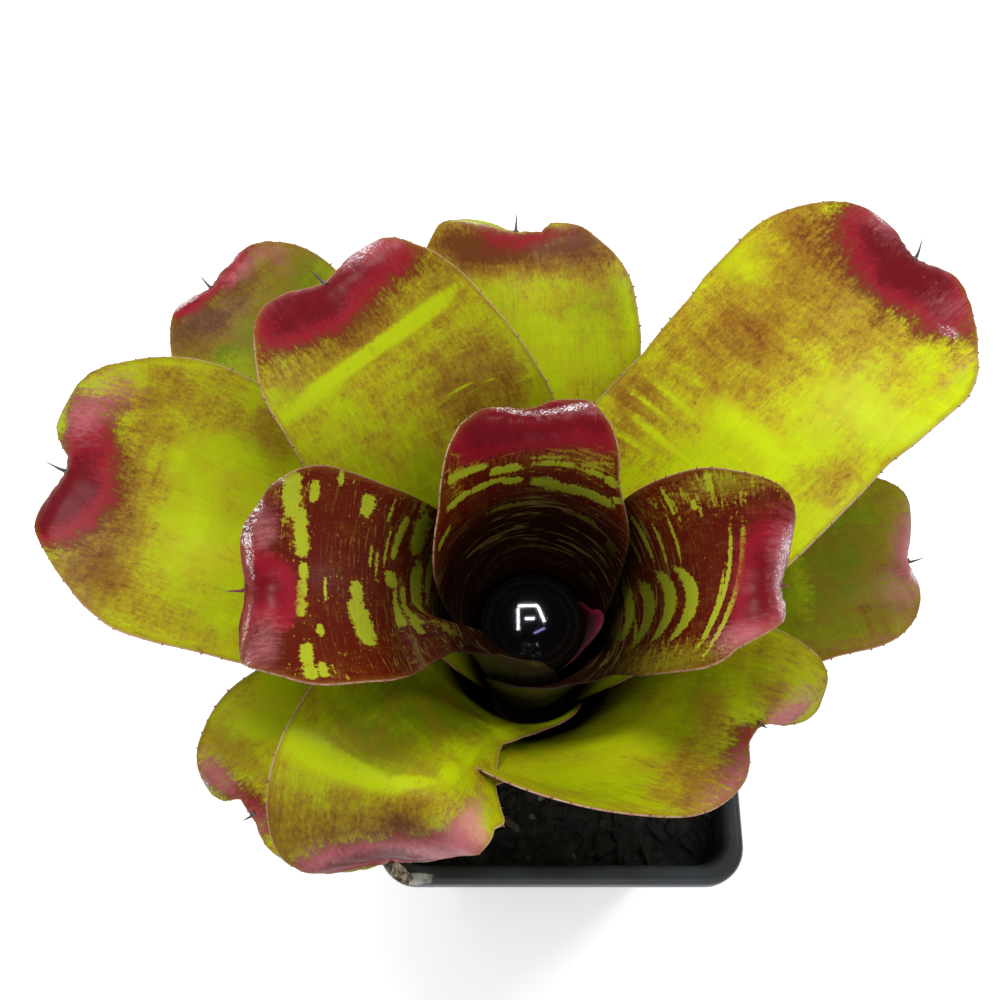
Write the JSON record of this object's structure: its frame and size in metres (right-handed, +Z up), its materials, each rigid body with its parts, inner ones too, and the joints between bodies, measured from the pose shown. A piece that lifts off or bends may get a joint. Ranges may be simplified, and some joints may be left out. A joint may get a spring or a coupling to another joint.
{
  "type": "bromeliad",
  "caption": "Potted bromeliad: a rosette of broad toothed strap leaves whose nested sheaths hold water, planted in bark mix in a square tapered nursery pot.",
  "frame": {"origin": "centre of the pot's flat underside", "axes": "+Z up; +X to the right in the picture and -Y towards the camera, square to the pot's sides"},
  "size_m": [0.2636, 0.1985, 0.2091],
  "materials": {
    "pot": "charcoal black injection-moulded plastic, satin",
    "potting_mix": "damp bark and peat mix with paler bark chips",
    "stem": "short fibrous plant base, brown",
    "tank_water": "still dark water",
    "heart_leaf": "young leaf, pink crimson, glossy",
    "inner_leaf": "dark maroon leaf with lime flecks, glossy",
    "outer_leaf": "lime leaf mottled bronze, crimson at the end"
  },
  "bodies": {
    "root": {"pot": "pot", "soil": "potting_mix", "stem": "stem", "tank_water": "tank_water", "leaf_01": "heart_leaf", "leaf_02": "inner_leaf", "leaf_03": "inner_leaf", "leaf_04": "inner_leaf", "leaf_05": "outer_leaf", "leaf_06": "outer_leaf", "leaf_07": "outer_leaf", "leaf_08": "outer_leaf", "leaf_09": "outer_leaf", "leaf_10": "outer_leaf", "leaf_11": "outer_leaf", "leaf_12": "outer_leaf", "leaf_13": "outer_leaf"}
  },
  "joints": []
}
